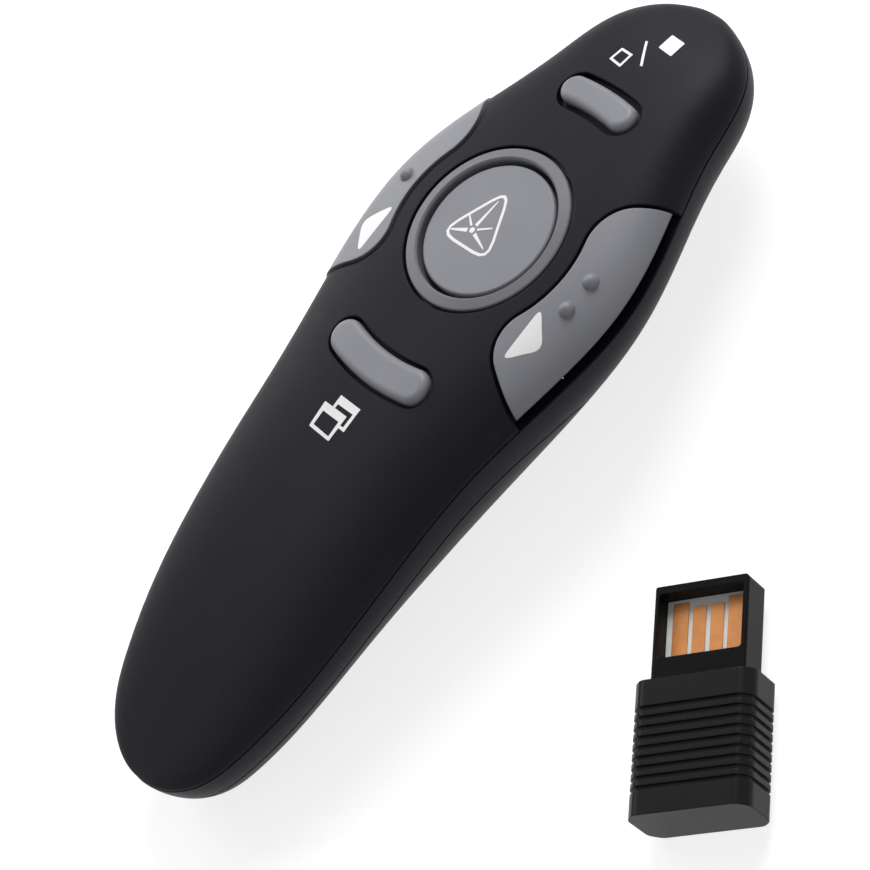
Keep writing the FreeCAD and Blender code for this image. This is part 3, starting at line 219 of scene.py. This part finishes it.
TONGUE_WHITE = Finish("tongue_white", (0.9, 0.9, 0.89), 0.45, colour_share=0.02, cloud=4.0,
                      grain_size=0.15, relief=0.003, edge=0.15)
CONTACT_COPPER = Finish("contact_copper", (0.6, 0.24, 0.07), 0.42, metallic=0.35,
                        grain=Grain.BRUSH, grain_size=0.3, relief=0.003, cloud=2.5, edge=0.05)


def dress(node: str, finish: Finish) -> None:
    """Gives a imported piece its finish.

    Args:
        node: The piece's name.
        finish: The finish it takes.
    """
    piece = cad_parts[node]
    piece.data.materials.clear()
    piece.data.materials.append(finish.material())
    log.info("%s dressed in %s", node, finish.name)


class Dressed:
    """A sub-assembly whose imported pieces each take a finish."""

    finishes: dict[str, Finish]

    def dress(self) -> None:
        """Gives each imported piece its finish."""
        for node, finish in self.finishes.items():
            dress(node, finish)


def rounded(corners: list[Point], radius: float) -> list[Point]:
    """Rounds a polygon's corners.

    Args:
        corners: The polygon's corners in turn.
        radius: How far from each corner its rounding starts.

    Returns:
        The rounded polygon.
    """
    points: list[Point] = []
    for index, corner in enumerate(corners):
        here = Vector(corner)
        before = Vector(corners[index - 1])
        after = Vector(corners[(index + 1) % len(corners)])
        start = here + (before - here).normalized() * radius
        end = here + (after - here).normalized() * radius
        for step in range(ROUNDING_STEPS + 1):
            share = step / ROUNDING_STEPS
            spot = start.lerp(here, share).lerp(here.lerp(end, share), share)
            points.append((spot.x, spot.y))
    return points


def inward(corners: list[Point], width: float) -> list[Point]:
    """Moves every side of a polygon inward.

    Args:
        corners: The polygon's corners in turn.
        width: How far each side moves.

    Returns:
        The smaller polygon's corners.
    """
    count = len(corners)
    twice_area = sum(corners[i - 1][0] * corners[i][1] - corners[i][0] * corners[i - 1][1]
                     for i in range(count))
    hand = 1 if twice_area > 0 else -1
    moved: list[Point] = []
    for index in range(count):
        before, here, after = (Vector(corners[(index + step) % count])
                               for step in (-1, 0, 1))
        first, second = (here - before).normalized(), (after - here).normalized()
        bisector = (Vector((-first.y, first.x)) + Vector((-second.y, second.x))) * hand
        bisector /= 1 + first.dot(second)
        moved.append((here.x + bisector.x * width, here.y + bisector.y * width))
    return moved


@dataclass
class Skin:
    """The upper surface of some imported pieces, on which prints lie."""

    nodes: tuple[str, ...]
    height: float = 60.0

    def __post_init__(self) -> None:
        """Gathers the pieces' faces for finding heights."""
        self.trees: list[BVHTree] = []
        for node in self.nodes:
            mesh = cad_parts[node].data
            faces = [tuple(face.vertices) for face in mesh.polygons]
            self.trees.append(BVHTree.FromPolygons([v.co for v in mesh.vertices], faces))

    def under(self, x: float, y: float) -> float:
        """Finds the surface under a point.

        Args:
            x: Place across the clicker, in millimetres.
            y: Place along it, in millimetres.

        Returns:
            The surface's height in metres.
        """
        origin = Vector((x, y, self.height)) * MM
        hits = [tree.ray_cast(origin, Vector((0, 0, -1)))[0] for tree in self.trees]
        return max(hit.z for hit in hits if hit is not None)


@dataclass
class Print:
    """A white mark printed on a surface, drawn in plan in millimetres."""

    name: str
    body: str
    skin: Skin
    lift: float = 0.02
    step: float = 0.6
    loops: list[list[Point]] = field(default_factory=list)
    bands: list[tuple[list[Point], list[Point]]] = field(default_factory=list)

    def fill(self, loop: list[Point]) -> None:
        """Adds a filled outline."""
        self.loops.append(loop)

    def band(self, corners: list[Point], width: float, radius: float) -> None:
        """Adds a polygon's outline, with rounded corners and a stroke of the given width."""
        outer = rounded(corners, radius)
        self.bands.append((outer, inward(outer, width)))

    def border(self, outer: list[Point], inner: list[Point], radius: float) -> None:
        """Adds the space between two polygons, rounded most at its outer corners."""
        self.bands.append((rounded(outer, radius), rounded(inner, radius / INNER_SHARPNESS)))

    def build(self) -> None:
        """Lays the mark on its surface and lets it ride on its body."""
        mesh = bmesh.new()
        for loop in self.loops:
            mesh.faces.new([mesh.verts.new((x, y, 0)) for x, y in loop])
        for outer, inner in self.bands:
            far = [mesh.verts.new((x, y, 0)) for x, y in outer]
            near = [mesh.verts.new((x, y, 0)) for x, y in inner]
            for index in range(len(far)):
                mesh.faces.new([far[index - 1], far[index], near[index], near[index - 1]])
        self._divide(mesh)
        for vert in mesh.verts:
            vert.co = Vector((vert.co.x * MM, vert.co.y * MM,
                              self.skin.under(vert.co.x, vert.co.y) + self.lift * MM))
        bmesh.ops.recalc_face_normals(mesh, faces=mesh.faces)
        if sum(face.normal.z for face in mesh.faces) < 0:
            bmesh.ops.reverse_faces(mesh, faces=mesh.faces)
        data = bpy.data.meshes.new(self.name)
        mesh.to_mesh(data)
        mesh.free()
        piece = bpy.data.objects.new(self.name, data)
        bpy.context.scene.collection.objects.link(piece)
        data.materials.append(WHITE_PRINT.material())
        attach(piece, self.body)
        log.info("%s printed on %s", self.name, ", ".join(self.skin.nodes))

    def _divide(self, mesh: bmesh.types.BMesh) -> None:
        """Cuts the flat mark into small cells, so that it can follow a curved surface.

        Args:
            mesh: The mark, flat and in millimetres.
        """
        for axis in range(2):
            places = [vert.co[axis] for vert in mesh.verts]
            count = int((max(places) - min(places)) / self.step)
            normal = Vector((1, 0, 0)) if axis == 0 else Vector((0, 1, 0))
            for index in range(1, count + 1):
                spot = normal * (min(places) + index * self.step)
                geometry = mesh.verts[:] + mesh.edges[:] + mesh.faces[:]
                bmesh.ops.bisect_plane(mesh, geom=geometry, plane_co=spot, plane_no=normal)


@dataclass
class Housing(Dressed):
    """The two shells, the battery cover, the ring and the power slider."""

    finishes: dict[str, Finish] = field(default_factory=lambda: {
        "top_shell": SOFT_TOUCH, "lower_shell": SOFT_TOUCH, "battery_cover": SOFT_TOUCH,
        "ring_trim": RING_SATIN, "power_slider": SLIDER_BLACK,
        "case_screws": SCREW_STEEL,
    })
    stroke: float = 0.34
    corner: float = 0.16
    blank_square: Corners = (
        (-4.18, 46.75), (-4.0, 48.84), (-1.86, 48.78), (-1.84, 46.52),
    )
    slash: Corners = ((-2.24, 51.14), (-1.94, 51.27), (0.71, 48.11), (0.34, 47.99))
    filled_square: Corners = ((0.05, 51.28), (-0.2, 53.65), (2.35, 53.51), (2.65, 51.1))
    front_window: Corners = (
        (-3.44, -7.48), (1.0, -7.36), (0.77, -11.04), (-3.39, -11.02),
    )
    front_pane: Corners = ((-2.8, -8.53), (0.34, -8.47), (0.28, -10.6), (-2.89, -10.55))
    rear_header: Corners = ((-1.81, -5.72), (2.19, -5.67), (2.11, -6.7), (-1.88, -6.85))
    rear_left: Corners = ((-1.88, -6.85), (-1.4, -6.83), (-1.42, -7.41), (-1.92, -7.42))
    rear_right: Corners = ((1.62, -6.72), (2.11, -6.7), (2.03, -9.05), (1.49, -8.64))
    rear_foot: Corners = ((2.03, -9.05), (0.9, -9.06), (0.92, -8.66), (1.49, -8.64))

    def screen_mark(self) -> None:
        """Prints the blank and the filled screen beside each other near the nose."""
        mark = Print("screen_mark", "housing", Skin(("top_shell",)))
        outer = list(self.blank_square)
        mark.border(outer, inward(outer, self.stroke), self.corner)
        mark.fill(list(self.slash))
        mark.fill(rounded(list(self.filled_square), self.corner))
        mark.build()

    def window_mark(self) -> None:
        """Prints two overlapping windows behind the window key."""
        mark = Print("window_mark", "housing", Skin(("top_shell",)))
        mark.border(list(self.front_window), list(self.front_pane), self.corner)
        for bar in (self.rear_header, self.rear_left, self.rear_right, self.rear_foot):
            mark.fill(list(bar))
        mark.build()


@dataclass(frozen=True)
class Ray:
    """One wedge of the burst on the laser key, widest near the hub."""

    tip: Point
    foot_half: float
    tip_half: float


@dataclass
class Keypad:
    """The grey keys with their white marks, and the carriers under them: a black pad, darkened
    further as painted shade in the gaps around the keys.
    """

    keys: tuple[str, ...] = (
        "laser_key", "previous_key", "next_key", "screen_key", "window_key",
    )
    next_arrow: Corners = ((14.83, 16.95), (14.93, 9.05), (18.3, 12.97))
    previous_arrow: Corners = ((-14.6, 16.9), (-18.3, 12.88), (-14.56, 9.19))
    arrow_corner: float = 1.3
    laser_triangle: Corners = ((-1.28, 26.85), (3.67, 17.46), (-6.2, 17.15))
    laser_corner: float = 3.0
    laser_stroke: float = 0.4
    hub: Point = (-1.8, 19.7)
    hub_radius: float = 0.4
    hub_sides: int = 16
    ray_start: float = 0.72
    rays: tuple[Ray, ...] = (
        Ray((-1.57, 24.42), 0.27, 0.08), Ray((-3.85, 21.1), 0.17, 0.1),
        Ray((-4.67, 18.38), 0.29, 0.12), Ray((1.64, 18.57), 0.27, 0.08),
        Ray((0.6, 21.27), 0.16, 0.1),
    )

    def dress(self) -> None:
        """Gives each key, carrier and plunger its finish."""
        for key in self.keys:
            dress(key, KEY_RUBBER)
            # The carrier and plunger finish is partly painted shade for the gaps around the
            # keys.
            dress(key + "_carrier", CARRIER_BLACK_AND_SHADE)
            dress(key + "_plunger", CARRIER_BLACK_AND_SHADE)

    def arrows(self) -> None:
        """Prints the arrows of the two side keys."""
        for node, corners in (("next_key", self.next_arrow),
                              ("previous_key", self.previous_arrow)):
            mark = Print(node + "_arrow", node + "_body", Skin((node,)))
            mark.fill(rounded(list(corners), self.arrow_corner))
            mark.build()

    def laser_mark(self) -> None:
        """Prints the rounded triangle with its burst of rays on the laser key."""
        mark = Print("laser_mark", "laser_key_body", Skin(("laser_key",)))
        mark.band(list(self.laser_triangle), self.laser_stroke, self.laser_corner)
        hub = Vector(self.hub)
        turns = [2 * math.pi * side / self.hub_sides for side in range(self.hub_sides)]
        mark.fill([tuple(hub + Vector((math.cos(turn), math.sin(turn))) * self.hub_radius)
                   for turn in turns])
        for ray in self.rays:
            tip = Vector(ray.tip)
            along = (tip - hub).normalized()
            side = Vector((-along.y, along.x))
            foot = hub + along * self.ray_start
            mark.fill([tuple(foot + side * ray.foot_half), tuple(foot - side * ray.foot_half),
                       tuple(tip - side * ray.tip_half), tuple(tip + side * ray.tip_half)])
        mark.build()


@dataclass
class Works(Dressed):
    """What the shells hide: the board, its parts, the cells and the laser."""

    finishes: dict[str, Finish] = field(default_factory=lambda: {
        "main_board": BOARD_MASK, "tact_switches": PLATED_STEEL, "radio_chip": CHIP_EPOXY,
        "crystal_can": PLATED_STEEL, "slide_switch": PLATED_STEEL, "board_screws": SCREW_STEEL,
        "left_cell": CELL_SLEEVE, "right_cell": CELL_SLEEVE, "front_contacts": NICKEL,
        "rear_contact": NICKEL, "laser_module": TURNED_BRASS, "laser_window": LENS,
    })


@dataclass
class Receiver(Dressed):
    """The ribbed receiver with its USB plug."""

    finishes: dict[str, Finish] = field(default_factory=lambda: {
        "receiver_housing": HOUSING_GLOSS, "receiver_plug": PLUG_GLOSS,
        "receiver_tongue": TONGUE_WHITE, "receiver_contacts": CONTACT_COPPER,
        "receiver_board": BOARD_MASK,
    })


@dataclass
class Softbox:
    """A square area lamp that faces a point on the object. Lengths are in metres."""

    name: str
    place: Place
    size: float
    watts: float
    aim: Place = (0.01, 0.0, 0.015)

    def build(self) -> None:
        """Hangs the lamp and turns it to its aim."""
        lamp = bpy.data.lights.new(self.name, "AREA")
        lamp.shape = "SQUARE"
        lamp.size = self.size
        lamp.energy = self.watts
        holder = bpy.data.objects.new(self.name, lamp)
        holder.location = self.place
        holder.rotation_mode = "QUATERNION"
        sight = Vector(self.aim) - Vector(self.place)
        holder.rotation_quaternion = sight.to_track_quat("-Z", "Y")
        bpy.context.scene.collection.objects.link(holder)


@dataclass
class Studio:
    """Floor, lamps, surroundings and camera.

    The floor's size and the clip distances are in metres, the camera's target, distance
    and sensor width in millimetres.
    """

    floor_size: float = 6.0
    floor_cells: int = 8
    floor_glow: float = 0.78
    floor_colour: Colour = (0.5, 0.5, 0.5)
    floor_shares: tuple[float, float] = (0.98, 1.0)
    floor_noise: float = 3.0
    ambient: float = 0.25
    target: Place = (5.025, -2.376, 11.713)
    right: Place = (0.5886, 0.62463, -0.51321)
    up: Place = (-0.4579, 0.78077, 0.42511)
    back: Place = (0.66624, -0.01522, 0.74558)
    distance: float = 389.27
    focal_share: float = 3200 / 870
    sensor_width: float = 36.0
    clip: tuple[float, float] = (0.01, 20.0)
    lamps: list[Softbox] = field(default_factory=lambda: [
        Softbox("nose_side_lamp", (-0.2, 0.42, 0.42), 0.35, 2.75),
        Softbox("left_lamp", (-0.55, 0.0, 0.32), 0.4, 1.2),
        Softbox("right_lamp", (0.5, -0.3, 0.12), 0.3, 0.25),
    ])

    def floor(self) -> None:
        """Lays the pale floor that the object stands on."""
        mesh = bmesh.new()
        bmesh.ops.create_grid(mesh, x_segments=self.floor_cells, y_segments=self.floor_cells,
                              size=self.floor_size / 2)
        data = bpy.data.meshes.new("floor")
        mesh.to_mesh(data)
        mesh.free()
        floor = bpy.data.objects.new("floor", data)
        bpy.context.scene.collection.objects.link(floor)
        data.materials.append(self._floor_material())

    def _floor_material(self) -> bpy.types.Material:
        """Makes a pale floor that shows white to the camera and keeps the object's shadow.

        Returns:
            The material.
        """
        made = bpy.data.materials.new("pale_floor")
        made.use_nodes = True
        tree = made.node_tree
        tree.nodes.clear()
        output = tree.nodes.new("ShaderNodeOutputMaterial")
        matt = tree.nodes.new("ShaderNodeBsdfDiffuse")
        noise = tree.nodes.new("ShaderNodeTexNoise")
        noise.inputs["Scale"].default_value = self.floor_noise
        ramp = tree.nodes.new("ShaderNodeValToRGB")
        for element, share in zip(ramp.color_ramp.elements, self.floor_shares):
            element.color = (*[part * share for part in self.floor_colour], 1.0)
        tree.links.new(noise.outputs["Fac"], ramp.inputs["Fac"])
        tree.links.new(ramp.outputs["Color"], matt.inputs["Color"])
        glow = tree.nodes.new("ShaderNodeEmission")
        glow.inputs["Color"].default_value = WHITE
        glow.inputs["Strength"].default_value = self.floor_glow
        both = tree.nodes.new("ShaderNodeAddShader")
        tree.links.new(matt.outputs["BSDF"], both.inputs[0])
        tree.links.new(glow.outputs["Emission"], both.inputs[1])
        chosen = tree.nodes.new("ShaderNodeMixShader")
        tree.links.new(self._seen_directly(tree), chosen.inputs["Fac"])
        tree.links.new(matt.outputs["BSDF"], chosen.inputs[1])
        tree.links.new(both.outputs["Shader"], chosen.inputs[2])
        tree.links.new(chosen.outputs["Shader"], output.inputs["Surface"])
        return made

    def _seen_directly(self, tree: bpy.types.NodeTree) -> bpy.types.NodeSocket:
        """Tells the rays of the camera, of gloss and of glass from the rest.

        Args:
            tree: The nodes of the material or the world.

        Returns:
            A socket that is 1 for those rays.
        """
        path = tree.nodes.new("ShaderNodeLightPath")
        sharp = self._larger(tree, path.outputs["Is Glossy Ray"],
                             path.outputs["Is Transmission Ray"])
        return self._larger(tree, path.outputs["Is Camera Ray"], sharp)

    def _larger(self, tree: bpy.types.NodeTree, first: bpy.types.NodeSocket,
                second: bpy.types.NodeSocket) -> bpy.types.NodeSocket:
        """Adds a node that gives the larger of two values.

        Args:
            tree: The nodes of the material or the world.
            first: One value.
            second: The other value.

        Returns:
            The node's output.
        """
        larger = tree.nodes.new("ShaderNodeMath")
        larger.operation = "MAXIMUM"
        tree.links.new(first, larger.inputs[0])
        tree.links.new(second, larger.inputs[1])
        return larger.outputs["Value"]

    def surroundings(self) -> None:
        """Sets a plain even world that shows white to the camera."""
        world = bpy.data.worlds.new("surroundings")
        bpy.context.scene.world = world
        world.use_nodes = True
        tree = world.node_tree
        sky = tree.nodes["Background"]
        sky.inputs["Color"].default_value = WHITE
        level = tree.nodes.new("ShaderNodeMapRange")
        level.inputs["To Min"].default_value = self.ambient
        level.inputs["To Max"].default_value = 1.0
        tree.links.new(self._seen_directly(tree), level.inputs["Value"])
        tree.links.new(level.outputs["Result"], sky.inputs["Strength"])

    def camera(self) -> None:
        """Places the camera at the photograph's viewing angle."""
        data = bpy.data.cameras.new("camera")
        data.sensor_width = self.sensor_width
        data.lens = self.focal_share * data.sensor_width
        data.clip_start, data.clip_end = self.clip
        holder = bpy.data.objects.new("camera", data)
        turn = Matrix((self.right, self.up, self.back)).transposed().to_4x4()
        place = (Vector(self.target) + Vector(self.back) * self.distance) * MM
        holder.matrix_world = Matrix.Translation(place) @ turn
        bpy.context.scene.collection.objects.link(holder)
        bpy.context.scene.camera = holder

    def build(self) -> None:
        """Sets up the whole studio."""
        self.floor()
        self.surroundings()
        for lamp in self.lamps:
            lamp.build()
        self.camera()
        bpy.context.scene.view_settings.view_transform = "Standard"
        log.info("studio ready with %d lamps", len(self.lamps))


def main() -> None:
    """Dresses the part, builds the prints and the studio."""
    logging.basicConfig(level=logging.INFO, format="%(name)s: %(message)s")
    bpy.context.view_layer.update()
    housing = Housing()
    housing.dress()
    housing.screen_mark()
    housing.window_mark()
    keypad = Keypad()
    keypad.dress()
    keypad.arrows()
    keypad.laser_mark()
    Works().dress()
    Receiver().dress()
    Studio().build()


if __name__ == "__main__":
    main()
